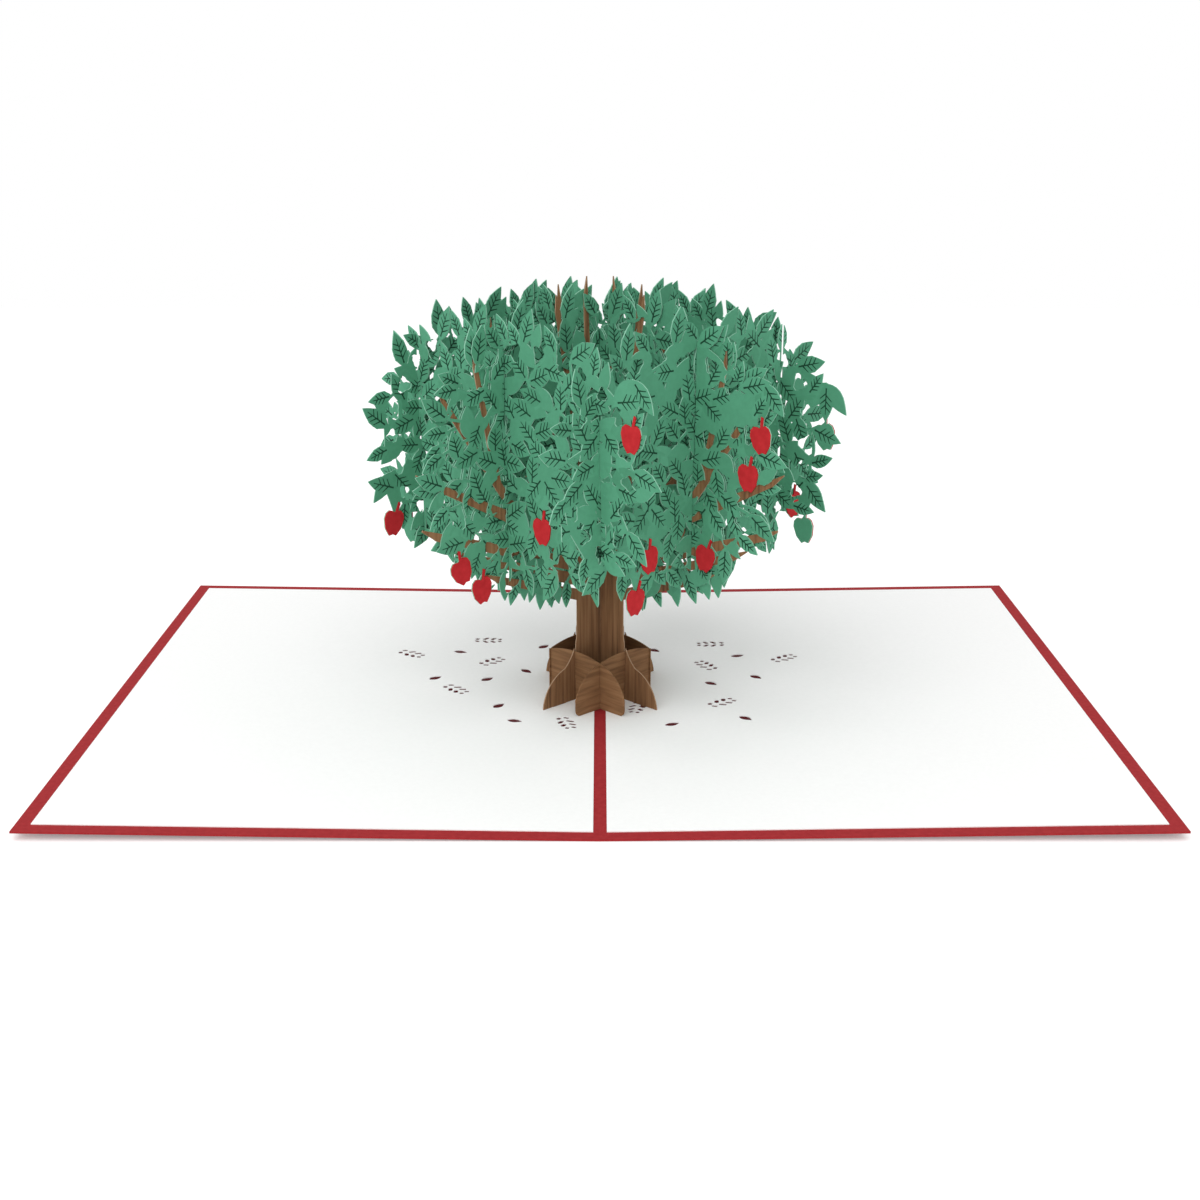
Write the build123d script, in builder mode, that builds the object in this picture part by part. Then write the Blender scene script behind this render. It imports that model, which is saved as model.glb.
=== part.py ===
import os
from math import asin, atan2, copysign, cos, degrees, sin, sqrt

from build123d import *

# Card, in millimetres: the spine lies along Y and each half rises a little to its outer edge
half_width = 127.0
card_depth = 178.0
edge_rise = 1.9
card_paper = 0.45
panel_paper = 0.22
panel_margin = 3.5
spine_gap = 3.0

# Lattice of upright sheets at 45 degrees to the spine
sheet_paper = 0.3
slot_clearance = 0.2
crown_pitch = 32.2
root_pitch = 9.2

# Crown: its leaf sheets are slices of one flattened ball, a little square in side view
crown_centre = 70.2
crown_radius = 61.0
crown_half_height = 39.3
crown_squareness = 2.6
rim_points = 28
crown_slot_height = 70.0

# Leaves round the rim of a slice, and the gaps between the leaves inside it
leaf_length = 9.4
leaf_width = 4.7
small_leaf = 0.78
leaf_reach = 8.0
leaf_lean = 26.0
leaf_wander = 36.0
leaf_spacing = 8.0
leaf_scatter = 0.4
gap_size = 2.5
gap_waist = 0.8
gap_spread = 0.62
gap_scatter = 0.4
gap_turn_scatter = 0.6
gaps_per_sheet = 6

# Trunk and its root flare
trunk_half_width = 8.5
trunk_slot_height = 52.0
trunk_top = 60.0
flare_start = 19.0
flare_shoulder = 10.2
flare_hollow = 1.1
root_reach = 20.8
root_knee = 2.8

# Branches of one side, from the trunk or a larger branch to the tip: two ends and half widths
branches = [
    ((7, 29), (39.4, 40.7), 1.5, 0.75),
    ((7, 33), (49.6, 48.7), 1.6, 0.8),
    ((7, 37), (58.7, 55.4), 1.8, 0.9),
    ((7, 42), (60.0, 69.0), 2.0, 0.7),
    ((27, 52.2), (53.0, 88.0), 1.3, 0.6),
    ((34.5, 62.0), (42.0, 96.0), 1.0, 0.6),
    ((5, 50), (28.0, 100.5), 2.0, 0.6),
    ((4, 54), (15.5, 106.5), 1.8, 0.6),
    ((2.8, 56), (5.2, 109.5), 1.4, 0.6),
]

# Low sheets round the foot of the trunk
root_height = 13.6
root_dip = 1.1
root_slot_height = 6.4
root_overhang = 0.5
petal_length = 8.8
petal_corner = 1.8

# Tabs that go through the panels and are glued to the outer card
tab_length = 4.5
tab_clearance = 0.1
trunk_tab_place = 15.0
root_tab_place = 5.0

# Apples
apple_paper = 0.3
apple_dimple = 0.5
apple_half_width = 3.05
apple_top = 2.9
apple_base = 3.6
stem_height = 2.2
stem_width = 0.75
sprig_height = 11.4
sprig_spread = 42.0

# Apples of each green sheet: place along it, height, lean in degrees, and the face they are glued on
near, far = 1, -1
apple_places = {
    "leaf_sheet_front_left": [(13.0, 53.7, 4, near), (42.2, 80.6, 0, near), (-37.5, 44.5, 12, far)],
    "leaf_sheet_front_right": [
        (-20.6, 37.8, -6, near),
        (-15.9, 47.2, 10, near),
        (38.5, 51.0, 8, near),
    ],
    "leaf_sheet_back_left": [(-42.0, 49.2, -10, near), (19.0, 43.0, 6, far), (22.5, 75.0, -4, far)],
    "leaf_sheet_back_right": [
        (9.5, 82.0, 5, near),
        (46.5, 72.0, 14, far),
        (41.0, 47.0, 10, far),
        (-12.6, 53.0, -4, far),
    ],
    "leaf_layer_a_near": [(-41.0, 38.2, 6, near), (-47.3, 44.2, 22, near)],
    "leaf_layer_a_far": [(41.0, 39.0, -6, far), (47.5, 45.0, 10, far)],
    "leaf_layer_b_near": [(53.0, 77.2, 10, near), (49.5, 67.6, 2, near), (36.7, 45.3, -8, near)],
    "leaf_layer_b_far": [(-50.5, 70.0, -6, far), (-40.0, 46.0, 4, far)],
}

# Cut-outs in the panels: veined leaves and loose petals, by place and heading
cut_leaf_length = 7.8
cut_leaf_width = 5.6
cut_vein = 1.4
cut_vein_lean = 52.0
veins_per_side = 3
petal_cut_length = 4.0
petal_cut_width = 2.5
left, right = -1, 1
cut_leaves = {
    left: [(-52, 21.5, -21), (-31.5, 34, 3), (-29.5, 17, 51), (-37.5, -6.5, -29), (-8, -28, 40)],
    right: [(31, 31, 174), (28.5, 13.5, 132), (51.5, 18, 28), (32, -14.5, 27), (9.5, -17, 60)],
}
cut_petals = {
    left: [
        (-39, 23.5, -10),
        (-44, 2.5, 38),
        (-30, 2, 44),
        (-20, 9, -39),
        (-26, -17, 49),
        (-21.5, -27.5, -9),
        (-16, 27.5, 35),
    ],
    right: [(38, 20.5, 7), (15.5, 26, -51), (29.5, -1.5, -44), (42, 3, -42), (36.5, -26, -45), (18, -29, 19)],
}

half_tilt = asin(edge_rise / half_width)
floor_height = (card_paper + panel_paper) / cos(half_tilt)
panel_width = half_width - panel_margin - spine_gap / 2
stack_layers = 3
golden_step = 0.618034
seed_step = 0.37


def half_plane(side, height):
    """Plane of one half of the card, raised by a height square to the half."""
    lift = height / cos(half_tilt)
    along = (cos(half_tilt), 0, side * sin(half_tilt))
    return Plane(origin=(0, 0, lift), x_dir=along, z_dir=(-side * sin(half_tilt), 0, cos(half_tilt)))


def lattice_plane(family, offset):
    """Upright plane of a sheet: local x runs along the sheet and local y is height."""
    along, normal = {"a": ((1, 1, 0), (1, -1, 0)), "b": ((1, -1, 0), (-1, -1, 0))}[family]
    return Plane(origin=Vector(*normal).normalized() * offset, x_dir=along, z_dir=normal)


def wander(index, seed):
    """Even scatter between -0.5 and 0.5."""
    return (index * golden_step + seed * seed_step) % 1.0 - 0.5


def slot(place, height, layers, reach):
    """Slot in a sheet for the layers of a crossing one, open upwards or downwards from a height."""
    align = (Align.CENTER, Align.MIN if reach > 0 else Align.MAX)
    with Locations((place, height)):
        Rectangle(layers * sheet_paper + slot_clearance, abs(reach), align=align, mode=Mode.SUBTRACT)


def drop_offcuts():
    """Keeps only the largest face of the sketch in work."""
    for offcut in faces().sort_by(SortBy.AREA)[:-1]:
        add(offcut, mode=Mode.SUBTRACT)


def leaf_outline(length, width):
    """Pointed leaf from its root at the origin to its tip on local x, with straight-cut sides."""
    with BuildSketch() as leaf:
        with BuildLine():
            Polyline((0, 0), (0.28 * length, 0.46 * width), (0.6 * length, 0.44 * width), (length, 0))
            mirror(about=Plane.XZ)
        make_face()
    return leaf.sketch


def gap_outline():
    """Gap left between three leaves: a star of three points."""
    reaches = [gap_size, gap_waist] * 3
    corners = [Vector(reach, 0).rotate(Axis.Z, 60 * index) for index, reach in enumerate(reaches)]
    with BuildSketch() as gap:
        Polygon(*corners, align=None)
    return gap.sketch


def apple_outline():
    """Apple with two shoulders, a narrow foot and a leaning stem, all cut with short straight sides."""
    stem_top = apple_top + stem_height
    with BuildSketch() as apple:
        with BuildLine():
            Polyline(
                (0, apple_top - apple_dimple),
                (0.22 * apple_half_width, 0.94 * apple_top),
                (0.56 * apple_half_width, apple_top),
                (0.88 * apple_half_width, 0.74 * apple_top),
                (apple_half_width, 0.26 * apple_top),
                (0.8 * apple_half_width, -0.5 * apple_base),
                (0.34 * apple_half_width, -apple_base),
                (0, -0.9 * apple_base),
            )
            mirror(about=Plane.YZ)
        make_face()
        Polygon(
            (-stem_width / 2, 0),
            (stem_width / 2, 0),
            (2 * stem_width, stem_top - stem_width / 2),
            (1.2 * stem_width, stem_top),
            align=None,
        )
    return apple.sketch


def sprig_outline():
    """Three leaves that hang from one point, down to the top of an apple."""
    with BuildSketch() as sprig:
        for turn in (-sprig_spread, 0, sprig_spread):
            with Locations(Location((0, sprig_height, 0), (0, 0, turn - 90))):
                add(large_leaf)
    return sprig.sketch


def cut_leaf_outline():
    """Two rows of slits that read as the veins of a fallen leaf."""
    step = cut_leaf_length / (veins_per_side + 1)
    with BuildSketch() as veins:
        for row in (left, right):
            for index in range(veins_per_side):
                root = ((index + 0.3) * step - cut_leaf_length / 2, 0.55 * row * cut_vein)
                reach = cut_leaf_width / 2 * (1 - 0.12 * abs(index - 1))
                belly = (reach / 2, cut_vein / 2)
                with Locations(Location((*root, 0), (0, 0, cut_vein_lean * row))):
                    Polygon((0, 0), belly, (reach, 0), (belly[0], -belly[1]), align=None)
    return veins.sketch


def limb(start, end, start_half, end_half):
    """Tapered branch with a square-cut tip."""
    start, end = Vector(*start), Vector(*end)
    across = (end - start).normalized().rotate(Axis.Z, 90)
    root_cut, tip_cut = across * start_half, across * end_half
    with BuildSketch() as taper:
        Polygon(start + root_cut, start - root_cut, end - tip_cut, end + tip_cut, align=None)
    return taper.sketch


def trunk_outline():
    """Trunk with its root flare: a hollow curve into a rounded root on each side."""
    edge_top = (trunk_half_width, 0.7 * trunk_top)
    edge_foot = (trunk_half_width, flare_start)
    hollow = (trunk_half_width + flare_hollow, (flare_start + flare_shoulder) / 2)
    shoulder = (trunk_half_width + 0.36 * (root_reach - trunk_half_width), flare_shoulder)
    knee = (root_reach - root_knee, 0.7 * flare_shoulder)
    with BuildSketch() as trunk:
        with BuildLine():
            Polyline((0, trunk_top), (0.7 * trunk_half_width, trunk_top), edge_top, edge_foot)
            ThreePointArc(edge_foot, hollow, shoulder)
            ThreePointArc(shoulder, knee, (root_reach, 0))
            Line((root_reach, 0), (0, 0))
            mirror(about=Plane.YZ)
        make_face()
    return trunk.sketch


def root_outline():
    """Low root sheet: an arched top edge, and a rounded petal past its last crossing."""
    back_end = (-root_pitch - root_overhang, root_height - root_dip)
    crossing = (root_pitch, root_height - root_dip / 2)
    petal_end = root_pitch + petal_length
    petal_brow = (root_pitch + 0.68 * petal_length, 0.73 * root_height)
    petal_side = (petal_end, 0.38 * root_height)
    with BuildSketch() as root:
        with BuildLine():
            ThreePointArc(back_end, (0, root_height + root_dip / 2), crossing)
            ThreePointArc(crossing, petal_brow, petal_side)
            Polyline(petal_side, (petal_end, floor_height), (back_end[0], floor_height), back_end)
        make_face()
        fillet(root.vertices().group_by(Axis.Y)[0].sort_by(Axis.X)[-1], petal_corner)
    return root.sketch


large_leaf = leaf_outline(leaf_length, leaf_width)
little_leaf = leaf_outline(leaf_length * small_leaf, leaf_width * small_leaf)
leaf_gap = gap_outline()
apple_shape = apple_outline()
sprig_shape = sprig_outline()
cut_leaf = cut_leaf_outline()
cut_petal = leaf_outline(petal_cut_length, petal_cut_width)
trunk_shape = trunk_outline()
limbs = [limb(*branch) for branch in branches]
root_shape = root_outline()


def rim_size(offset):
    """Half length and half height of the rim that the leaves of a slice grow from."""
    share = abs(offset) / crown_radius
    half_length = crown_radius * sqrt(1 - share**2)
    half_rise = crown_half_height * (1 - share**crown_squareness) ** (1 / crown_squareness)
    return half_length - leaf_reach, half_rise - leaf_reach


def rim_curve(offset):
    """Closed rim of a slice: a superellipse round the origin."""
    half_length, half_rise = rim_size(offset)
    corners = []
    for index in range(rim_points):
        ray = Vector(1, 0).rotate(Axis.Z, 360 * index / rim_points)
        across, rise = [copysign(abs(side) ** (2 / crown_squareness), side) for side in (ray.X, ray.Y)]
        corners.append((half_length * across, half_rise * rise))
    return Edge.make_spline(corners, periodic=True)


def rim_leaves(offset, seed):
    """Spot on the rim and heading of each leaf, in turn round the rim."""
    rim = rim_curve(offset)
    count = 2 * round(rim.length / leaf_spacing / 2)
    leaves = []
    for index in range(count):
        length = (index + 0.5 + leaf_scatter * wander(index, seed)) * rim.length / count
        spot = rim.position_at(length, position_mode=PositionMode.LENGTH)
        tangent = rim.tangent_at(length, position_mode=PositionMode.LENGTH)
        lean = leaf_lean * (1 if index % 2 else -1) + leaf_wander * wander(3 * index + 1, seed)
        heading = degrees(atan2(tangent.Y, tangent.X)) - 90 + lean
        leaves.append((spot + Vector(0, crown_centre), heading))
    return leaves


def leaf_place(spot, heading):
    """Place of a leaf whose tip stands out over its spot on the rim by the leaf's reach."""
    root = spot - Vector(leaf_length - leaf_reach, 0).rotate(Axis.Z, heading)
    return Location((root.X, root.Y, 0), (0, 0, heading))


def gap_places(offset, seed):
    """Places of the gaps, spread round the middle of a slice."""
    half_length, half_rise = rim_size(offset)
    places = []
    for index in range(gaps_per_sheet):
        turn = 360 * (index + gap_turn_scatter * wander(index, seed)) / gaps_per_sheet
        ray = Vector(gap_spread + gap_scatter * wander(2 * index, seed), 0).rotate(Axis.Z, turn)
        spot = (ray.X * half_length, ray.Y * half_rise + crown_centre, 0)
        places.append(Location(spot, (0, 0, 3 * turn)))
    return places


def apple_spots(sheet):
    """Places of the apples on a green sheet."""
    return [Location((along, height, 0), (0, 0, lean)) for along, height, lean, face in apple_places[sheet]]


def leaf_slice(sheet, offset, seed, slots):
    """Leafy slice of the crown, with a sprig and a backing for each apple, less its slots and offcuts."""
    leaves = rim_leaves(offset, seed)
    Polygon(*[spot for spot, heading in leaves], align=None)
    with Locations(*[leaf_place(*leaf) for leaf in leaves[::2]]):
        add(large_leaf)
    with Locations(*[leaf_place(*leaf) for leaf in leaves[1::2]]):
        add(little_leaf)
    with Locations(*gap_places(offset, seed)):
        add(leaf_gap, mode=Mode.SUBTRACT)
    with Locations(*apple_spots(sheet)):
        add(apple_shape)
        add(sprig_shape)
    for place, height, layers, reach in slots:
        slot(place, height, layers, reach)
    drop_offcuts()


def stand_on_card(plane, tab_places):
    """Trims the sheet in work to the slope of the panels, then adds its tabs down to the outer card."""
    for side in (left, right):
        split(bisect_by=half_plane(side, card_paper + panel_paper))
    with BuildSketch(plane) as tabs:
        with Locations(*[(place, 0) for place in tab_places]):
            Rectangle(tab_length, 2 * floor_height, align=(Align.CENTER, Align.MIN))
    extrude(tabs.sketch, amount=sheet_paper / 2, both=True)
    for side in (left, right):
        split(bisect_by=half_plane(side, card_paper))


def tab_slit(family, offset, place):
    """Place and turn of the slit that a tab goes through."""
    spot = lattice_plane(family, offset).from_local_coords((place, 0, 0))
    return Location((spot.X / cos(half_tilt), spot.Y, 0), (0, 0, 45 if family == "a" else -45))


def save(piece, name):
    piece.label = name
    export_step(piece, f"parts/{name}.step")


os.makedirs("parts", exist_ok=True)

trunk_tabs = (-trunk_tab_place, trunk_tab_place)
root_sheets = {
    "root_sheet_front_left": ("b", root_pitch),
    "root_sheet_front_right": ("a", root_pitch),
    "root_sheet_back_left": ("a", -root_pitch),
    "root_sheet_back_right": ("b", -root_pitch),
}
leaf_sheets = {
    "leaf_sheet_front_left": ("b", crown_pitch),
    "leaf_sheet_front_right": ("a", crown_pitch),
    "leaf_sheet_back_left": ("a", -crown_pitch),
    "leaf_sheet_back_right": ("b", -crown_pitch),
}
leaf_layers = {
    "leaf_layer_a_near": ("a", near * sheet_paper),
    "leaf_layer_a_far": ("a", far * sheet_paper),
    "leaf_layer_b_near": ("b", near * sheet_paper),
    "leaf_layer_b_far": ("b", far * sheet_paper),
}

# Folded outer card: a shallow V carried along the spine
with BuildPart() as outer_card:
    with BuildSketch(Plane.XZ):
        with BuildLine():
            edge = Vector(half_width * cos(half_tilt), half_width * sin(half_tilt))
            edge_top = edge + Vector(-card_paper * sin(half_tilt), card_paper * cos(half_tilt))
            Polyline((0, 0), edge, edge_top, (0, card_paper / cos(half_tilt)))
            mirror(about=Plane.YZ)
        make_face()
    extrude(amount=card_depth / 2, both=True)
save(outer_card.part, "outer_card")

# Trunk sheets: one slotted from above at the trunk, the other from below
slits = []
for family, reach in (("a", crown_radius), ("b", -crown_radius)):
    plane = lattice_plane(family, 0)
    with BuildPart() as trunk_sheet:
        with BuildSketch(plane):
            add(trunk_shape)
            add(limbs)
            mirror(limbs, about=Plane.YZ)
            slot(0, trunk_slot_height, stack_layers, reach)
            for side in (left, right):
                slot(side * crown_pitch, crown_slot_height, 1, crown_radius)
                slot(side * root_pitch, root_slot_height, 1, flare_start - root_slot_height)
            drop_offcuts()
        extrude(amount=sheet_paper / 2, both=True)
        stand_on_card(plane, trunk_tabs)
    save(trunk_sheet.part, f"trunk_sheet_{family}")
    slits.extend(tab_slit(family, 0, place) for place in trunk_tabs)

# Root sheets: the petals of each pair point to the front or to the back
for name, (family, offset) in root_sheets.items():
    plane = lattice_plane(family, offset)
    petal_turn = 1 if (family == "b") == (offset > 0) else -1
    with BuildPart() as root_sheet:
        with BuildSketch(plane):
            if petal_turn > 0:
                add(root_shape)
            else:
                mirror(root_shape, about=Plane.YZ)
            slot(0, root_slot_height, 1, -root_height)
            for side in (left, right):
                slot(side * root_pitch, root_slot_height, 1, root_height if family == "a" else -root_height)
        extrude(amount=sheet_paper / 2, both=True)
        stand_on_card(plane, [petal_turn * root_tab_place])
    save(root_sheet.part, name)
    slits.append(tab_slit(family, offset, petal_turn * root_tab_place))

# Inner panels
for side, name in ((left, "left_inner_panel"), (right, "right_inner_panel")):
    with BuildPart() as inner_panel:
        with BuildSketch(half_plane(side, card_paper)):
            with Locations((side * (spine_gap + panel_width) / 2, 0)):
                Rectangle(panel_width, card_depth - 2 * panel_margin)
            with Locations(*[Location((x, y, 0), (0, 0, turn)) for x, y, turn in cut_leaves[side]]):
                add(cut_leaf, mode=Mode.SUBTRACT)
            with Locations(*[Location((x, y, 0), (0, 0, turn)) for x, y, turn in cut_petals[side]]):
                add(cut_petal, mode=Mode.SUBTRACT)
            with Locations(*[slit for slit in slits if slit.position.X * side > 0]):
                slit_length = tab_length + 2 * tab_clearance
                Rectangle(slit_length, sheet_paper + 2 * tab_clearance, mode=Mode.SUBTRACT)
        extrude(amount=panel_paper)
    save(inner_panel.part, name)

# Outer leaf sheets: all slotted from below over the trunk sheets, and half and half into each other
for seed, (name, (family, offset)) in enumerate(leaf_sheets.items()):
    reach = crown_radius if family == "a" else -crown_radius
    slots = [(side * crown_pitch, crown_slot_height, 1, reach) for side in (left, right)]
    slots.append((0, crown_slot_height, stack_layers, -crown_radius))
    with BuildPart() as leaf_sheet:
        with BuildSketch(lattice_plane(family, offset)):
            leaf_slice(name, offset, seed, slots)
        extrude(amount=sheet_paper / 2, both=True)
    save(leaf_sheet.part, name)

# Leaf layers on both faces of the trunk sheets, slotted as those are
for seed, (name, (family, offset)) in enumerate(leaf_layers.items(), len(leaf_sheets)):
    reach = crown_radius if family == "a" else -crown_radius
    slots = [(side * crown_pitch, crown_slot_height, 1, crown_radius) for side in (left, right)]
    slots.append((0, trunk_slot_height, stack_layers, reach))
    with BuildPart() as leaf_layer:
        with BuildSketch(lattice_plane(family, offset)):
            leaf_slice(name, offset, seed, slots)
        extrude(amount=sheet_paper / 2, both=True)
    save(leaf_layer.part, name)

# Apples
count = 0
for name, (family, offset) in (leaf_sheets | leaf_layers).items():
    for along, height, lean, face in apple_places[name]:
        count += 1
        with BuildPart() as apple:
            with BuildSketch(lattice_plane(family, offset + face * sheet_paper / 2)):
                with Locations(Location((along, height, 0), (0, 0, lean))):
                    add(apple_shape)
            extrude(amount=face * apple_paper)
        save(apple.part, f"apple_{count:02d}")
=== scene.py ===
import math

import bpy
import numpy as np
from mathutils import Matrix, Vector
from mathutils.geometry import delaunay_2d_cdt


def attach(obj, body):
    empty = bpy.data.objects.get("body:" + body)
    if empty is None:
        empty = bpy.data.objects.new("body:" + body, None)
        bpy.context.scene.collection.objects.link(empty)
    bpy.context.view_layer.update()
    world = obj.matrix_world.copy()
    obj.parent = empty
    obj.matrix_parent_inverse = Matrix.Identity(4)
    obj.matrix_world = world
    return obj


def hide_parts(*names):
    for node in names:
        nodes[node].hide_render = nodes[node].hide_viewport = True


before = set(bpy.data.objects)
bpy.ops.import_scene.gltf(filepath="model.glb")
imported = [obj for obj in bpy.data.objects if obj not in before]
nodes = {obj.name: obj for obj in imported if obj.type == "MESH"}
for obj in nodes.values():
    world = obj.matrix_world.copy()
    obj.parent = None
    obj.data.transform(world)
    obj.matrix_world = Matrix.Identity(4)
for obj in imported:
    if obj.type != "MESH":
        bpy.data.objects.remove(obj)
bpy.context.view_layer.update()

mm = 0.001
halfRun, halfRise = 126.986, 1.9  # each half of the card slopes up to its outer edge
core, foliage, vein, hole = 1, 2, 4, 8  # what an outline adds to a sheet, or cuts from it
mergeWithin = 1e-4  # points of outlines that are nearer than this, in millimetres, become one
print("frame loaded:", len(nodes), "nodes")


# axes of a flat sheet: along it, up or to the back, and square to it, towards the photo's side or up
def sheetAxes(family):
    along = {"a": (1, 1, 0), "b": (1, -1, 0), "left": (halfRun, 0, -halfRise), "right": (halfRun, 0, halfRise)}
    along = np.array(along[family]) / np.linalg.norm(along[family])
    up = np.array([0.0, 0.0, 1.0] if family in "ab" else [0.0, 1.0, 0.0])
    return along, up, np.cross(along, up)


def turned(points, heading, place):  # an outline turned by a heading in degrees and moved to its place
    angle = math.radians(heading)
    turn = np.array([[math.cos(angle), math.sin(angle)], [-math.sin(angle), math.cos(angle)]])
    return points @ turn + np.asarray(place)


def towards(heading):  # step of length 1 along a heading in degrees
    return np.array([math.cos(math.radians(heading)), math.sin(math.radians(heading))])


leafShape = {"sidePoints": 9, "pull": 0.82, "fullness": 0.95}


# half width follows a sine of the length, pulled to the root, so that the tip is sharp
def leafOutline(length, width):
    along = 0.5 - 0.5 * np.cos(np.linspace(0, math.pi, leafShape["sidePoints"] + 1))
    half = 0.5 * width * np.sin(math.pi * along ** leafShape["pull"]) ** leafShape["fullness"]
    lower = np.stack([along * length, -half], 1)
    upper = np.stack([along * length, half], 1)[-2:0:-1]
    return np.concatenate([lower, upper])


# triangles of a CAD sheet's near face in its own plane, the sheet's depth and its thickness, in millimetres
def cadNearFace(node, family):
    along, up, normal = sheetAxes(family)
    mesh = nodes[node].data
    spots = np.empty(len(mesh.vertices) * 3)
    mesh.vertices.foreach_get("co", spots)
    spots = spots.reshape(-1, 3) / mm
    corners = np.empty(len(mesh.loops), dtype=np.int32)
    mesh.loops.foreach_get("vertex_index", corners)
    depth = spots @ normal
    middle = (depth.min() + depth.max()) / 2
    near = (depth > middle)[corners].reshape(-1, 3).all(1)
    flat = np.stack([spots @ along, spots @ up], 1)
    return flat[corners.reshape(-1, 3)[near]], middle, np.ptp(depth)


def neighbours(triangles):  # pairs of triangles that share an edge
    edges = np.sort(np.concatenate([triangles[:, [0, 1]], triangles[:, [1, 2]], triangles[:, [2, 0]]]), 1)
    key = edges @ np.array([triangles.max() + 1, 1])
    order = np.argsort(key, kind="stable")
    twin = np.nonzero(np.diff(key[order]) == 0)[0]
    return np.stack([order[twin], order[twin + 1]], 1) % len(triangles)


def islands(pairs, count):  # each triangle gets the lowest number in the island that the pairs join it to
    label = np.arange(count)
    while True:
        least = label[pairs].min(1)
        joined = label.copy()
        np.minimum.at(joined, label[pairs[:, 0]], least)
        np.minimum.at(joined, label[pairs[:, 1]], least)
        joined = joined[joined]
        if (joined == label).all():
            return label
        label = joined


def insideAny(points, triangles):  # which points lie to the left of all three sides of any triangle
    found = np.zeros(len(points), dtype=bool)
    for triangle in triangles:
        sides = [(end - start, points - start) for start, end in zip(triangle, np.roll(triangle, -1, 0))]
        found |= np.all([side[0] * away[:, 1] >= side[1] * away[:, 0] for side, away in sides], 0)
    return found


gapRules = {"share": 0.95, "areas": (0.15, 120.0), "rounds": 6}


# the islands of sheet that no leaf covers are cut out by chance, as gaps between the leaves, and a gap that
# would set a leaf loose is filled again
def cutGaps(spots, triangles, cover, rng):
    pairs = neighbours(triangles)
    paper = (cover & (core | foliage) > 0) & (cover & hole == 0)
    bare = paper & (cover & foliage == 0)
    island = islands(pairs[bare[pairs].all(1)], len(triangles))
    first, second = (spots[triangles[:, i]] - spots[triangles[:, 0]] for i in (1, 2))
    area = np.abs(first[:, 0] * second[:, 1] - first[:, 1] * second[:, 0]) / 2
    islandArea = np.bincount(island, area * bare, len(triangles))[island]
    low, high = gapRules["areas"]
    chosen = rng.random(len(triangles))[island] < gapRules["share"]
    gap = bare & chosen & (islandArea > low) & (islandArea < high)
    for attempt in range(gapRules["rounds"]):
        keep = paper & ~gap
        part = islands(pairs[keep[pairs].all(1)], len(triangles))
        main = np.bincount(part, area * keep).argmax()
        loose = keep & (part != main)
        touching = pairs[loose[pairs].any(1) & gap[pairs].any(1)].ravel()
        if not len(touching):
            break
        gap &= ~np.isin(island, island[touching[gap[touching]]])
    return keep & ~loose


# a face, the part of it that stays solid, and outlines, each a kind, a tone and its points anticlockwise,
# merged into one triangulation, less its holes and gaps; the same points half the paper's thickness to each
# side of the sheet's plane give its two faces, and a wall joins them along each edge that one triangle has
def sheetMesh(name, family, depth, paper, face, solid, outlines, rng):
    outlines = outlines + [(0, 0.0, triangle) for triangle in face]
    rings = [ring for kind, tone, ring in outlines]
    starts = np.cumsum([0] + [len(ring) for ring in rings])
    loops = [list(range(start, end)) for start, end in zip(starts[:-1], starts[1:])]
    flat = [Vector(spot) for spot in np.concatenate(rings)]
    spots, _, triangles, _, _, owners = delaunay_2d_cdt(flat, [], loops, 1, mergeWithin)
    kinds = np.array([kind for kind, tone, ring in outlines])
    tones = np.array([tone for kind, tone, ring in outlines])
    cover = np.array([np.bitwise_or.reduce(kinds[owner]) if owner else 0 for owner in owners])
    topLeaf = [[one for one in owner if kinds[one] == foliage][-1:] for owner in owners]
    tone = np.array([tones[one].sum() if one else 0 for one in topLeaf])
    spots = np.array([tuple(spot) for spot in spots])
    triangles = np.array([tuple(triangle) for triangle in triangles])
    middles = spots[triangles].mean(1)
    cover |= core * insideAny(middles, face) | foliage * insideAny(middles, solid)
    keep = cutGaps(spots, triangles, cover, rng)
    # triangles under a vein get the dark vein colour, which is painted shade
    veinShaded, tone = (cover[keep] & vein) > 0, tone[keep]
    used, triangles = np.unique(triangles[keep], return_inverse=True)
    spots, triangles = spots[used], triangles.reshape(-1, 3)

    edges = np.concatenate([triangles[:, [0, 1]], triangles[:, [1, 2]], triangles[:, [2, 0]]])
    key = np.sort(edges, 1) @ np.array([len(spots), 1])
    _, first, uses = np.unique(key, return_index=True, return_counts=True)
    rim = edges[first[uses == 1]]

    along, up, normal = sheetAxes(family)
    plane = spots[:, :1] * along + spots[:, 1:] * up
    near = plane + normal * (depth + paper / 2)
    far = plane + normal * (depth - paper / 2)
    back = len(spots)
    walls = np.stack([rim[:, 0], rim[:, 0] + back, rim[:, 1] + back, rim[:, 1]], 1)
    allFaces = triangles.tolist() + (triangles[:, ::-1] + back).tolist() + walls.tolist()
    mesh = bpy.data.meshes.new(name)
    mesh.from_pydata((np.concatenate([near, far]) * mm).tolist(), [], allFaces)
    slots = np.concatenate([veinShaded, veinShaded, np.full(len(walls), 2)]).astype(np.int32)
    mesh.polygons.foreach_set("material_index", slots)
    shade = mesh.attributes.new("leafTone", "FLOAT", "FACE")
    shade.data.foreach_set("value", np.concatenate([tone, tone, np.zeros(len(walls))]).astype(np.float32))
    mesh.update()
    sheet = bpy.data.objects.new(name, mesh)
    bpy.context.scene.collection.objects.link(sheet)
    return sheet


def finishSheet(sheet, node, layers):  # layers: papers of the faces, the dark vein marks on them, which are painted shade, and the cut edges
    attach(sheet, "root")
    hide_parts(node)
    for paper in layers:
        sheet.data.materials.append(paper)
    print(sheet.name, "stands for", node, "with", len(sheet.data.polygons), "faces")


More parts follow.
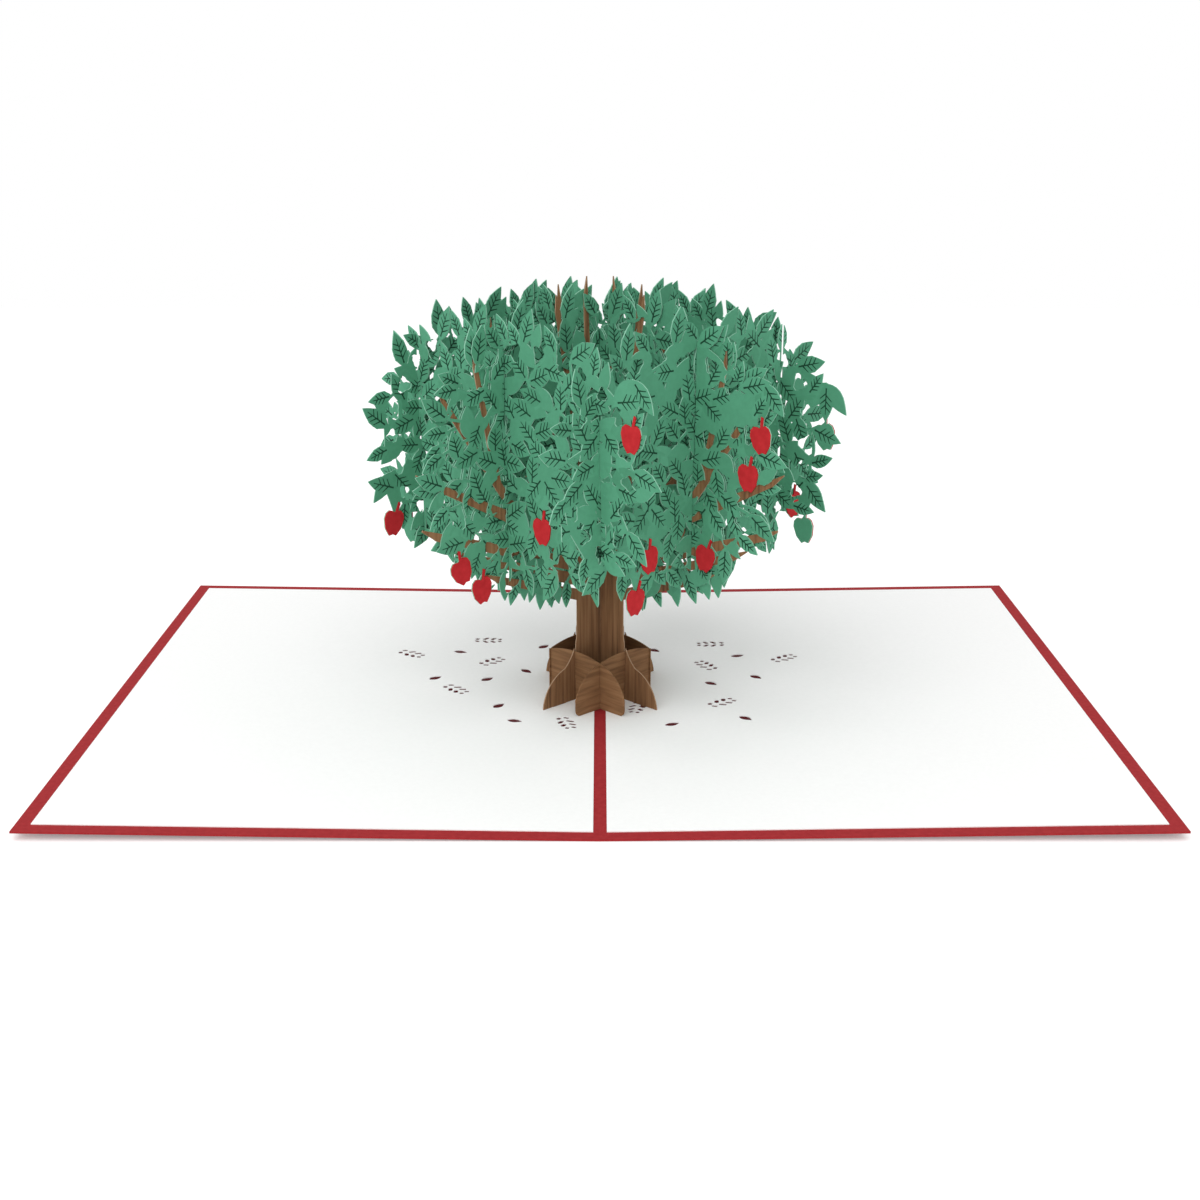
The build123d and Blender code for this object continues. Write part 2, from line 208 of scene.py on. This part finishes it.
# roughness of the papers, and the scale in cells per metre, strength and depth in metres of their fibres
papers = {
    "specular": 0.25, "plainRough": 0.85, "leafRough": 0.82, "barkRough": 0.8,
    "plainFibre": (2200, 0.3, 0.00006), "leafFibre": (2500, 0.25, 0.00006), "barkFibre": (1.0, 0.35, 0.00008),
    "noiseDetail": 3.0, "bumpDetail": 4.0, "grainDetail": 5.0, "mottle": 900, "mottleDepth": 0.93,
    # panelShade: axis, middle and reach in metres of the box under the panels where the red card gets painted
    # shade
    "toneSpread": 0.1, "toneMiddle": 0.5, "panelShade": (("X", 0.0625, 0.0595), ("Y", 0.0, 0.084)),
}


def newMaterial(name, roughness):
    material = bpy.data.materials.new(name)
    material.use_nodes = True
    shader = material.node_tree.nodes["Principled BSDF"]
    shader.inputs["Roughness"].default_value = roughness
    shader.inputs["Specular IOR Level"].default_value = papers["specular"]
    return material, material.node_tree, shader


def addNode(tree, kind, **values):
    node = tree.nodes.new(kind)
    for key, value in values.items():
        if key in node.inputs:
            node.inputs[key].default_value = value
        else:
            setattr(node, key, value)
    return node


def objectNoise(tree, scale, stretch=(1, 1, 1), detail=papers["noiseDetail"]):  # cells per metre
    coords = addNode(tree, "ShaderNodeTexCoord")
    mapping = addNode(tree, "ShaderNodeMapping", Scale=stretch)
    noise = addNode(tree, "ShaderNodeTexNoise", Scale=scale, Detail=detail)
    tree.links.new(coords.outputs["Object"], mapping.inputs["Vector"])
    tree.links.new(mapping.outputs["Vector"], noise.inputs["Vector"])
    return noise.outputs["Fac"]


def ramp(tree, source, stops):  # colour ramp from places and colours
    node = addNode(tree, "ShaderNodeValToRGB")
    while len(node.color_ramp.elements) < len(stops):
        node.color_ramp.elements.new(0.5)
    for element, (place, colour) in zip(node.color_ramp.elements, stops):
        element.position = place
        element.color = (*colour, 1)
    tree.links.new(source, node.inputs["Fac"])
    return node.outputs["Color"]


def blendColours(tree, factor, first, second, kind="MIX"):
    node = addNode(tree, "ShaderNodeMix", data_type="RGBA", blend_type=kind)
    for socket, value in ((node.inputs[0], factor), (node.inputs[6], first), (node.inputs[7], second)):
        if isinstance(value, (int, float)):
            socket.default_value = value
        elif isinstance(value, tuple):
            socket.default_value = (*value, 1)
        else:
            tree.links.new(value, socket)
    return node.outputs[2]


def paperBump(tree, shader, fibre, stretch=(1, 1, 1)):
    scale, strength, depth = fibre
    bump = addNode(tree, "ShaderNodeBump", Strength=strength, Distance=depth)
    tree.links.new(objectNoise(tree, scale, stretch, papers["bumpDetail"]), bump.inputs["Height"])
    tree.links.new(bump.outputs["Normal"], shader.inputs["Normal"])


def leafPaper(name, dark, light):  # a tone for each leaf, with fine fibres over it
    material, tree, shader = newMaterial(name, papers["leafRough"])
    tone = addNode(tree, "ShaderNodeAttribute", attribute_name="leafTone")
    shift = addNode(tree, "ShaderNodeMath", operation="MULTIPLY_ADD")
    shift.inputs[1].default_value = papers["toneSpread"]
    shift.inputs[2].default_value = papers["toneMiddle"]
    tree.links.new(tone.outputs["Fac"], shift.inputs[0])
    base = ramp(tree, shift.outputs[0], [(0.0, dark), (1.0, light)])
    shades = [(0.3, (papers["mottleDepth"],) * 3), (0.7, (1.0, 1.0, 1.0))]
    fibres = ramp(tree, objectNoise(tree, papers["mottle"]), shades)
    tree.links.new(blendColours(tree, 1.0, base, fibres, "MULTIPLY"), shader.inputs["Base Color"])
    paperBump(tree, shader, papers["leafFibre"])
    return material


def plainPaper(name, dark, light, scale=700):
    material, tree, shader = newMaterial(name, papers["plainRough"])
    colour = ramp(tree, objectNoise(tree, scale), [(0.3, dark), (0.7, light)])
    tree.links.new(colour, shader.inputs["Base Color"])
    paperBump(tree, shader, papers["plainFibre"])
    return material


def cardPaper(name, dark, light, panelShade):  # red card, with painted shade: deeper in colour where the panels shade it
    material, tree, shader = newMaterial(name, papers["plainRough"])
    coords = addNode(tree, "ShaderNodeTexCoord")
    axes = addNode(tree, "ShaderNodeSeparateXYZ")
    tree.links.new(coords.outputs["Object"], axes.inputs["Vector"])
    both = addNode(tree, "ShaderNodeMath", operation="MULTIPLY")
    for index, (axis, middle, reach) in enumerate(papers["panelShade"]):
        size = addNode(tree, "ShaderNodeMath", operation="ABSOLUTE")
        tree.links.new(axes.outputs[axis], size.inputs[0])
        near = addNode(tree, "ShaderNodeMath", operation="COMPARE")
        near.inputs[1].default_value, near.inputs[2].default_value = middle, reach
        tree.links.new(size.outputs[0], near.inputs[0])
        tree.links.new(near.outputs[0], both.inputs[index])
    colour = ramp(tree, objectNoise(tree, papers["mottle"]), [(0.3, dark), (0.7, light)])
    tree.links.new(blendColours(tree, both.outputs[0], colour, panelShade), shader.inputs["Base Color"])
    paperBump(tree, shader, papers["plainFibre"])
    return material


def barkPaper(name, dark, middle, light, stretch):  # printed wood grain, drawn out along one direction
    material, tree, shader = newMaterial(name, papers["barkRough"])
    grain = objectNoise(tree, 1.0, stretch, papers["grainDetail"])
    colour = ramp(tree, grain, [(0.28, dark), (0.5, middle), (0.72, light)])
    tree.links.new(colour, shader.inputs["Base Color"])
    paperBump(tree, shader, papers["barkFibre"], stretch)
    return material


greenPaper = leafPaper("greenPaper", (0.058, 0.238, 0.133), (0.115, 0.4, 0.245))
# dark vein colour: painted shade, standing for the shaded inside of the crown seen through the cut veins
veinShadePaper = plainPaper("shadedVeins", (0.004, 0.04, 0.02), (0.008, 0.06, 0.03))
greenEdge = plainPaper("greenCutEdge", (0.2, 0.44, 0.31), (0.26, 0.52, 0.38))
# the third colour is painted shade, for the card under the panels that shows in their cut-outs
redCard = cardPaper("redCard", (0.30, 0.014, 0.018), (0.36, 0.021, 0.025), (0.085, 0.004, 0.007))
whitePaper = plainPaper("whitePaper", (0.925, 0.925, 0.92), (0.945, 0.945, 0.94), 900)
applePaper = plainPaper("applePaper", (0.44, 0.013, 0.018), (0.53, 0.021, 0.027), 600)
trunkPaper = barkPaper("trunkPaper", (0.112, 0.052, 0.023), (0.228, 0.113, 0.05), (0.3, 0.16, 0.077),
                       (1100, 1100, 50))
rootPaper = barkPaper("rootPaper", (0.13, 0.06, 0.025), (0.222, 0.111, 0.048), (0.28, 0.148, 0.069),
                      (90, 90, 1100))
trunkEdge = plainPaper("trunkCutEdge", (0.33, 0.2, 0.12), (0.42, 0.28, 0.18))
print("papers made")

# green sheets of the crown, in millimetres: family, offset from the trunk and seed of each, then the crown's
# slices, the leaves round the rim, the low branches, the leaves inside, the dark vein marks, which are painted
# shade, the gaps and the slots; a pair is for the outer sheets and the layers on the trunk sheets, or from the
# least to the most
crown = {
    "sheets": {
        "leaf_sheet_front_left": ("b", 32.2, 0), "leaf_sheet_front_right": ("a", 32.2, 1),
        "leaf_sheet_back_left": ("a", -32.2, 2), "leaf_sheet_back_right": ("b", -32.2, 3),
        "leaf_layer_a_near": ("a", 0.3, 4), "leaf_layer_a_far": ("a", -0.3, 5),
        "leaf_layer_b_near": ("b", 0.3, 6), "leaf_layer_b_far": ("b", -0.3, 7),
    },
    "leafSeed": 40, "fillSeed": 60, "ringSeed": 11,
    "centre": 70.2, "radius": 61.0, "halfHeight": 39.3, "squareness": 2.6, "paper": 0.3, "glueReach": 1.2,
    "rimPoints": 4001, "tangentStep": 0.4,
    "leafLength": 9.4, "leafWidth": 4.4, "smallLeaf": 0.78, "leafReach": 8.0, "leafSpacing": 8.0,
    "leafScatter": 0.4, "leafLean": 26.0, "leafWander": 36.0, "extraShare": (0.35, 0.2), "extraBack": (0.5, 3.0),
    "sprigHeight": 11.9, "sprigSpread": 42.0,
    "low": {"from": 13.0, "to": 40.0, "step": 4.2, "height": 29.5, "slope": 0.361, "sizes": (0.72, 0.95),
            "swing": 50.0},
    "fillSpacing": (5.5, 5.9), "rowStep": 0.866, "fillShift": 1.2, "fillReach": 0.9, "fillArea": (60, 36),
    "fillSwing": 95.0, "fanDepth": 18.0, "fillLengths": (7.4, 9.2), "fillWidths": (4.2, 5.0),
    "twigWidth": 0.7, "twigsPerLeaf": 2,
    "veinMotifApart": 4.5, "veinMotifShare": 0.7, "veinMotifMiddle": 0.46, "midribHalves": (0.23, 0.1), "veinHalves": (0.26, 0.13),
    "veinShares": (0.2, 0.27, 0.42, 0.5, 0.64, 0.72), "veinReach": (0.45, 0.17), "veinLean": 0.8,
    "rimGapShare": 0.9, "rimGapDepths": (2.0, 3.4), "rimGapSizes": (1.4, 2.3), "limbGaps": 28,
    "limbGapSizes": (1.3, 2.5), "limbsOutside": 12, "limbsAbove": 30, "gapPoints": 15, "gapWave": 0.25,
    "notches": {"leaf_sheet_front_right": [(-47.5, 57.5, 4.0)]},
    "pitch": 32.2, "slotClearance": 0.6, "slotHeight": 70.0, "trunkSlotHeight": 52.0, "slotTop": 120.0,
}


# vein shapes, drawn in the dark vein colour, which is painted shade
def shadedVeins(length, width):  # a midrib that tapers to the tip, and pairs of slim wedges that lean to the tip
    (thick, thin), (rootHalf, tipHalf) = crown["midribHalves"], crown["veinHalves"]
    strips = [np.array([(0.0, -thick), (1.0, -thin), (1.0, thin), (0.0, thick)]) * (length, 1.0)]
    most, loss = crown["veinReach"]
    for index, share in enumerate(crown["veinShares"]):
        side = 1 if index % 2 else -1
        reach = width * (most - loss * share)
        root = np.array([share * length, 0.0])
        tip = root + reach * np.array([crown["veinLean"], side])
        wedge = np.array([root - (rootHalf, 0), root + (rootHalf, 0), tip + (tipHalf, 0), tip - (tipHalf, 0)])
        strips.append(wedge if side > 0 else wedge[::-1])
    return strips


def rimSize(offset):  # half length and half height of the curve that the leaves of a slice grow from
    share, power = abs(offset) / crown["radius"], crown["squareness"]
    halfLength = crown["radius"] * math.sqrt(1 - share ** 2)
    halfRise = crown["halfHeight"] * (1 - share ** power) ** (1 / power)
    return halfLength - crown["leafReach"], halfRise - crown["leafReach"]


def wander(index, seed):  # even scatter between -0.5 and 0.5, from steps of the golden ratio
    goldenStep, seedStep = 0.618034, 0.37
    return (index * goldenStep + seed * seedStep) % 1.0 - 0.5


def rimLeaves(offset, seed, shift=0.5):  # equal steps of arc length round a superellipse, with a heading at each
    halfLength, halfRise = rimSize(offset)
    angle = np.linspace(0, 2 * math.pi, crown["rimPoints"])
    square = lambda side: np.sign(side) * np.abs(side) ** (2 / crown["squareness"])
    curve = np.stack([halfLength * square(np.cos(angle)), halfRise * square(np.sin(angle))], 1)
    arc = np.concatenate([[0], np.cumsum(np.linalg.norm(np.diff(curve, axis=0), axis=1))])
    count = 2 * round(arc[-1] / crown["leafSpacing"] / 2)
    index = np.arange(count)
    at = (index + shift + crown["leafScatter"] * wander(index, seed)) * arc[-1] / count
    onCurve = lambda length: np.stack([np.interp(length % arc[-1], arc, side) for side in curve.T], 1)
    tangent = onCurve(at + crown["tangentStep"]) - onCurve(at - crown["tangentStep"])
    outward = np.degrees(np.arctan2(tangent[:, 1], tangent[:, 0])) - 90
    lean = crown["leafLean"] * np.where(index % 2, 1, -1) + crown["leafWander"] * wander(3 * index + 1, seed)
    return onCurve(at) + (0, crown["centre"]), outward + lean


def sheetApples(family, offset):  # near-face triangles of each apple that is glued on a sheet
    apples = []
    for node in nodes:
        if node.startswith("apple"):
            triangles, depth, thickness = cadNearFace(node, family)
            if thickness < 1 and abs(depth - offset) < crown["glueReach"] * crown["paper"]:
                apples.append(triangles)
    return apples


def slotBoxes(node, family):  # the slots of a green sheet, each as wide as the layers in it and a clearance
    wide = lambda layers: layers * crown["paper"] + crown["slotClearance"]
    low, high = (0.0, crown["slotHeight"]), (crown["slotHeight"], crown["slotTop"])
    if node.startswith("leaf_sheet"):
        side = high if family == "a" else low
        slots = [(0.0, wide(3), low)]
    else:
        side = high
        trunk = crown["trunkSlotHeight"]
        slots = [(0.0, wide(3), (trunk, crown["slotTop"]) if family == "a" else (0.0, trunk))]
    slots += [(place, wide(1), side) for place in (-crown["pitch"], crown["pitch"])]
    boxes = []
    for place, width, (bottom, top) in slots:
        left, right = place - width / 2, place + width / 2
        boxes.append(np.array([(left, bottom), (right, bottom), (right, top), (left, top)]))
    return boxes


# root, heading, length and width of each leaf: two rings round the rim, a sprig over each apple, a row along
# the low branches of a layer, and a shifted grid of leaves inside the rim that fan out from below the middle
def sheetLeaves(layer, offset, seed, apples, rng, fillRng):
    length, width = crown["leafLength"], crown["leafWidth"]
    leaves = []
    for ring in (0, 1):
        places = rimLeaves(offset, seed + crown["ringSeed"] * ring, 0.5 * (1 - ring))
        for index, (spot, heading) in enumerate(zip(*places)):
            size = crown["smallLeaf"] if index % 2 or ring else 1.0
            back = length - crown["leafReach"] + ring * rng.uniform(*crown["extraBack"])
            if ring == 0 or rng.uniform() < crown["extraShare"][layer]:
                leaves.append((spot - towards(heading) * back, heading, size * length, size * width))
    for apple in apples:
        top = apple.reshape(-1, 2).mean(0) + (0, crown["sprigHeight"])
        for turn in (-crown["sprigSpread"], 0, crown["sprigSpread"]):
            leaves.append((top, turn - 90, length, width))
    if layer:
        low = crown["low"]
        for side in (-1, 1):
            for place in np.arange(low["from"], low["to"], low["step"]) + rng.uniform(-1, 1):
                spot = np.array((side * place, low["height"] + low["slope"] * place))
                size = rng.uniform(*low["sizes"])
                heading = -90 + rng.uniform(-low["swing"], low["swing"])
                leaves.append((spot, heading, size * length, size * width))
    halfLength, halfRise = rimSize(offset)
    step, power = crown["fillSpacing"][layer], crown["squareness"]
    wide, high = crown["fillArea"]
    across, rise = np.meshgrid(np.arange(-wide, wide, step), np.arange(-high, high, step * crown["rowStep"]))
    across = across + step / 2 * (np.arange(len(rise)) % 2)[:, None]
    shift = fillRng.uniform(-1, 1, (across.size, 2)) * crown["fillShift"]
    grid = np.stack([across.ravel(), rise.ravel()], 1) + shift
    outwards = np.abs(grid[:, 0] / halfLength) ** power + np.abs(grid[:, 1] / halfRise) ** power
    swing = crown["fillSwing"]
    for spot in grid[outwards < crown["fillReach"]]:
        heading = math.degrees(math.atan2(spot[1] + crown["fanDepth"], spot[0])) + fillRng.uniform(-swing, swing)
        length, width = fillRng.uniform(*crown["fillLengths"]), fillRng.uniform(*crown["fillWidths"])
        leaves.append((spot + (0, crown["centre"]) - towards(heading) * length / 2, heading, length, width))
    return leaves


def leafTwigs(leaves):  # strips from the root of each leaf to the middles of the nearest other leaves
    middles = np.array([root + towards(heading) * length / 2 for root, heading, length, width in leaves])
    half = crown["twigWidth"] / 2
    twigs = []
    for index, (root, heading, length, width) in enumerate(leaves):
        apart = np.linalg.norm(middles - root, axis=1)
        apart[index] = np.inf
        for end in middles[np.argsort(apart)[:crown["twigsPerLeaf"]]] - root:
            reach, turn = np.linalg.norm(end), math.degrees(math.atan2(end[1], end[0]))
            strip = np.array([(0, -half), (reach, -half), (reach, half), (0, half)])
            twigs.append(turned(strip, turn, root))
    return twigs


# gaps as rings whose radius waves three times round: notches, then inside the rim between two of its leaves,
# and in a layer over the limbs of its trunk sheet
def leafGaps(node, family, offset, seed, layer, rng, fillRng):
    gaps = list(crown["notches"].get(node, []))
    rim, _ = rimLeaves(offset, seed - seed % 2 if layer else seed)
    (leastDepth, mostDepth), (leastSize, mostSize) = crown["rimGapDepths"], crown["rimGapSizes"]
    for first, last in zip(rim, np.roll(rim, -1, 0)):
        step = (last - first) / np.linalg.norm(last - first)
        inward = np.array([-step[1], step[0]])
        depth, size, chance = fillRng.uniform((leastDepth, leastSize, 0), (mostDepth, mostSize, 1))
        if chance < crown["rimGapShare"]:
            gaps.append((*((first + last) / 2 + depth * inward), size))
    if layer:
        limbs = cadNearFace("trunk_sheet_" + family, family)[0]
        above = limbs[:, :, 1].min(1) > crown["limbsAbove"]
        limbs = limbs[above & (np.abs(limbs[:, :, 0]).max(1) > crown["limbsOutside"])]
        for triangle in limbs[rng.integers(0, len(limbs), crown["limbGaps"])]:
            spot = rng.dirichlet((1, 1, 1)) @ triangle
            gaps.append((*spot, rng.uniform(*crown["limbGapSizes"])))
    turn = np.linspace(0, 2 * math.pi, crown["gapPoints"], endpoint=False)
    rings = []
    for x, y, size in gaps:
        radius = size * (1 + crown["gapWave"] * np.cos(3 * turn + x))
        rings.append(np.stack([x + radius * np.cos(turn), y + radius * np.sin(turn)], 1))
    return rings


def leafSheet(node, family, offset, seed):
    layer = node.startswith("leaf_layer")
    rng = np.random.default_rng(crown["leafSeed"] + seed)
    fillSeed = seed // 2 if layer else seed  # the layers on both faces of a trunk sheet match
    fillRng = np.random.default_rng(crown["fillSeed"] + fillSeed)
    apples = sheetApples(family, offset)
    leaves = sheetLeaves(layer, offset, seed, apples, rng, fillRng)
    outlines = [(foliage, 0.0, twig) for twig in leafTwigs(leaves)]
    shadedMiddles = np.zeros((0, 2))
    for root, heading, length, width in leaves:
        outlines.append((foliage, rng.normal(0, 1), turned(leafOutline(length, width), heading, root)))
        middle = root + towards(heading) * crown["veinMotifMiddle"] * length
        # a leaf far enough from the vein motifs so far gets one, in the dark vein colour, which is painted shade
        if not len(shadedMiddles) or np.linalg.norm(shadedMiddles - middle, axis=1).min() > crown["veinMotifApart"]:
            veinMotifLength = crown["veinMotifShare"] * length
            start = middle - towards(heading) * veinMotifLength / 2
            outlines += [(vein, 0.0, turned(strip, heading, start)) for strip in shadedVeins(veinMotifLength, width)]
            shadedMiddles = np.vstack([shadedMiddles, middle])
    outlines += [(hole, 0.0, box) for box in slotBoxes(node, family)]
    outlines += [(hole, 0.0, ring) for ring in leafGaps(node, family, offset, seed, layer, rng, fillRng)]
    face, _, _ = cadNearFace(node, family)
    name = node.replace("leaf_", "green_")
    return sheetMesh(name, family, offset, crown["paper"], face, np.concatenate(apples), outlines, rng)


for node, (family, offset, seed) in crown["sheets"].items():
    finishSheet(leafSheet(node, family, offset, seed), node, (greenPaper, veinShadePaper, greenEdge))

# trunk sheets: tip and heading of each limb on the right side, mirrored on the left
trunk = {
    "paper": 0.3, "tipLength": 4.5, "tipHalf": 0.5, "spare": 0.8, "inset": 0.1, "cutDepth": 1.7, "cutSide": 3.0,
    "seed": 80,
    "tips": [((39.4, 40.7), 19.8), ((49.6, 48.7), 20.2), ((58.7, 55.4), 19.6), ((60.0, 69.0), 27.0),
             ((53.0, 88.0), 54.0), ((42.0, 96.0), 77.6), ((28.0, 100.5), 65.5), ((15.5, 106.5), 77.6),
             ((5.2, 109.5), 87.4)],
}


def trunkSheet(family):  # the CAD sheet with a slope cut off one side of each limb's square end
    length, half, spare = trunk["tipLength"], trunk["tipHalf"], trunk["spare"]
    inner, outer = -trunk["cutDepth"] * half, -trunk["cutSide"] * half
    slope = np.array([(trunk["inset"], half), (-length, inner), (-length, outer), (spare, outer), (spare, half)])
    offcuts = []
    for tip, heading in trunk["tips"]:
        cut = turned(slope, heading, tip)
        offcuts += [(hole, 0.0, cut), (hole, 0.0, (cut * (-1, 1))[::-1])]
    face, _, _ = cadNearFace("trunk_sheet_" + family, family)
    rng = np.random.default_rng(trunk["seed"])
    return sheetMesh("brown_sheet_" + family, family, 0.0, trunk["paper"], face, face, offcuts, rng)


for family in ("a", "b"):
    finishSheet(trunkSheet(family), "trunk_sheet_" + family, (trunkPaper, trunkPaper, trunkEdge))

# white panels: their edges, the cut-outs by place and heading, a leaf's slits from stem to tip, and the slits
# for the tabs of the tree, on the right panel and mirrored on the left
panel = {
    "paper": 0.22, "height": 0.56, "spineEdge": 1.5, "outerEdge": 123.5, "halfDepth": 85.5,
    "petal": (4.2, 2.4), "slits": (1.7, 2.4, 2.2, 1.4), "slitWidth": 1.15, "slitStep": 2.2, "slitLean": 50.0,
    "slitBevel": 0.15, "midrib": 0.35, "seed": 90,
    "leaves": {
        "left": [(-52.6, 26.7, -33), (-31.6, 39.5, 0), (-29.6, 22.2, 45), (-37.9, -0.7, -45),
                 (-8.3, -23.6, -71)],
        "right": [(31.1, 36.2, 180), (29.0, 19.1, 120), (52.1, 23.9, 35), (32.4, -9.3, 34),
                  (9.4, -13.0, -103)],
    },
    "petals": {
        "left": [(-39.4, 29.2, -12), (-44.6, 8.0, 43), (-30.5, 7.6, 45), (-20.2, 14.3, -50),
                 (-26.3, -11.8, 55), (-21.6, -22.1, -13), (-16.1, 34.7, 52)],
        "right": [(38.8, 26.0, 18), (15.5, 31.5, -46), (29.9, 4.4, -42), (42.4, 8.8, -49),
                  (37.1, -20.9, -45), (18.3, -24.2, 24)],
    },
    "tabSlit": (4.7, 0.5),
    "tabs": [(10.61, 10.61, 45), (10.61, -10.61, -45), (2.97, 10.04, -45), (2.97, -10.04, 45)],
}


# a rectangle less its tab slits, its petals and its leaves, each of which is two rows of slits that lean to
# the leaf's tip
def panelSheet(side):
    mirror = -1 if side == "left" else 1
    low, high = sorted((mirror * panel["spineEdge"], mirror * panel["outerEdge"]))
    depth = panel["halfDepth"]
    corners = np.array([(low, -depth), (high, -depth), (high, depth), (low, depth)])
    box = np.array([(-0.5, -0.5), (0.5, -0.5), (0.5, 0.5), (-0.5, 0.5)]) * panel["tabSlit"]
    cuts = [turned(box, mirror * heading, (mirror * x, y)) for x, y, heading in panel["tabs"]]
    length, width = panel["petal"]
    petal = leafOutline(length, width) - (length / 2, 0)
    cuts += [turned(petal, heading, (x, y)) for x, y, heading in panel["petals"][side]]
    near, far = panel["slitBevel"], 1 - panel["slitBevel"]
    bar = np.array([(0, 0), (near, -0.5), (far, -0.5), (1, 0), (far, 0.5), (near, 0.5)])
    for x, y, heading in panel["leaves"][side]:
        for index, reach in enumerate(panel["slits"]):
            for row in (-1, 1):
                root = ((index - len(panel["slits"]) / 2) * panel["slitStep"], row * panel["midrib"])
                slit = turned(bar * (reach, panel["slitWidth"]), row * panel["slitLean"], root)
                cuts.append(turned(slit, heading, (x, y)))
    face = corners[[[0, 1, 2], [0, 2, 3]]]
    holes = [(hole, 0.0, cut) for cut in cuts]
    rng = np.random.default_rng(panel["seed"])
    return sheetMesh("white_panel_" + side, side, panel["height"], panel["paper"], face, face, holes, rng)


for side in ("left", "right"):
    finishSheet(panelSheet(side), side + "_inner_panel", (whitePaper, whitePaper, whitePaper))

nodePaper = {"outer": redCard, "left": whitePaper, "right": whitePaper, "trunk": trunkPaper, "root": rootPaper,
             "apple": applePaper, "leaf": greenPaper}
for name, node in nodes.items():
    node.data.materials.clear()
    node.data.materials.append(nodePaper[name.split("_")[0]])
print("CAD sheets have their papers")

studio = {
    "floorSize": 0.75, "floorColour": (0.92, 0.92, 0.92, 1), "floorRough": 0.9, "floorGlow": 0.22,
    "keySize": 1.6, "keyPower": 12.6, "keyPlace": (-0.25, -0.8, 1.0), "keyAim": (0, 0, 0.05), "sky": 0.73,
}


def makeFloor():  # a flat square, lifted to white for the camera only
    mesh = bpy.data.meshes.new("floor")
    corners = np.array([(-1, -1, 0), (1, -1, 0), (1, 1, 0), (-1, 1, 0)]) * studio["floorSize"]
    mesh.from_pydata(corners.tolist(), [], [(0, 1, 2, 3)])
    floor = bpy.data.objects.new("floor", mesh)
    bpy.context.scene.collection.objects.link(floor)
    material, tree, shader = newMaterial("paleFloor", studio["floorRough"])
    shader.inputs["Base Color"].default_value = studio["floorColour"]
    seen = addNode(tree, "ShaderNodeLightPath")
    glow = addNode(tree, "ShaderNodeMath", operation="MULTIPLY")
    glow.inputs[1].default_value = studio["floorGlow"]
    tree.links.new(seen.outputs["Is Camera Ray"], glow.inputs[0])
    shader.inputs["Emission Color"].default_value = (1, 1, 1, 1)
    tree.links.new(glow.outputs[0], shader.inputs["Emission Strength"])
    mesh.materials.append(material)


def makeLight():  # an even sky, white to the camera, and one large soft lamp
    world = bpy.data.worlds.new("studio")
    bpy.context.scene.world = world
    world.use_nodes = True
    tree = world.node_tree
    sky = tree.nodes["Background"]
    sky.inputs["Color"].default_value = (1, 1, 1, 1)
    seen = addNode(tree, "ShaderNodeLightPath")
    either = addNode(tree, "ShaderNodeMath", operation="MAXIMUM")
    tree.links.new(seen.outputs["Is Camera Ray"], either.inputs[0])
    tree.links.new(seen.outputs["Is Glossy Ray"], either.inputs[1])
    level = addNode(tree, "ShaderNodeMapRange")
    level.inputs["To Min"].default_value = studio["sky"]
    level.inputs["To Max"].default_value = 1.0
    tree.links.new(either.outputs[0], level.inputs["Value"])
    tree.links.new(level.outputs["Result"], sky.inputs["Strength"])
    key = bpy.data.lights.new("softbox", "AREA")
    key.size = studio["keySize"]
    key.energy = studio["keyPower"]
    lamp = bpy.data.objects.new("softbox", key)
    lamp.location = studio["keyPlace"]
    lamp.rotation_euler = (Vector(studio["keyAim"]) - lamp.location).to_track_quat("-Z", "Y").to_euler()
    bpy.context.scene.collection.objects.link(lamp)


camera = {
    "place": (0.0, -0.41005, 0.15778), "pitchDown": 17.811, "focalPixels": 1643.7, "imagePixels": 1200,
    "sensor": 36.0, "clipStart": 0.01,
}


def makeCamera():
    data = bpy.data.cameras.new("photoCamera")
    data.sensor_width = camera["sensor"]
    data.lens = camera["sensor"] * camera["focalPixels"] / camera["imagePixels"]
    data.clip_start = camera["clipStart"]
    view = bpy.data.objects.new("photoCamera", data)
    view.location = camera["place"]
    view.rotation_euler = (math.radians(90 - camera["pitchDown"]), 0, 0)
    bpy.context.scene.collection.objects.link(view)
    bpy.context.scene.camera = view


makeFloor()
makeLight()
makeCamera()
bpy.context.scene.view_settings.view_transform = "Standard"
print("studio ready")
